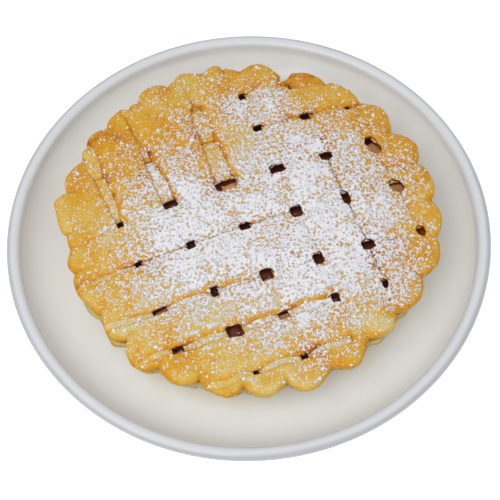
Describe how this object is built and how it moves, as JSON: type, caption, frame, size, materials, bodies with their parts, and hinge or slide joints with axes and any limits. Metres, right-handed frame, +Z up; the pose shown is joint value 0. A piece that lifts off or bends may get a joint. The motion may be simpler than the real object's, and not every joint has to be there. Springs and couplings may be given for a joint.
{
  "type": "apple pie",
  "caption": "Small round lattice-top apple pie with a fluted rim and powdered sugar, baked golden, standing in its own round white dish.",
  "frame": {"origin": "on the ground below the centre of the dish", "axes": "+Z up through the centre of the dish, +Y to the back as the pie is seen, +X to the right"},
  "size_m": [0.22, 0.22, 0.0384],
  "materials": {
    "glazed_dish": "smooth white glaze, warm in the well and slightly grey on the lip",
    "bottom_crust": "pale baked pastry",
    "fruit_filling": "moist dark fruit filling with pieces of apple",
    "lattice_pastry": "golden baked pastry dusted with powdered sugar"
  },
  "bodies": {
    "root": {"dish": "glazed_dish", "crust": "bottom_crust", "filling": "fruit_filling", "strip_a1": "lattice_pastry", "strip_a2": "lattice_pastry", "strip_a3": "lattice_pastry", "strip_a4": "lattice_pastry", "strip_a5": "lattice_pastry", "strip_a6": "lattice_pastry", "strip_a7": "lattice_pastry", "strip_a8": "lattice_pastry", "strip_b1": "lattice_pastry", "strip_b2": "lattice_pastry", "strip_b3": "lattice_pastry", "strip_b4": "lattice_pastry", "strip_b5": "lattice_pastry", "strip_b6": "lattice_pastry", "strip_b7": "lattice_pastry"}
  },
  "joints": []
}
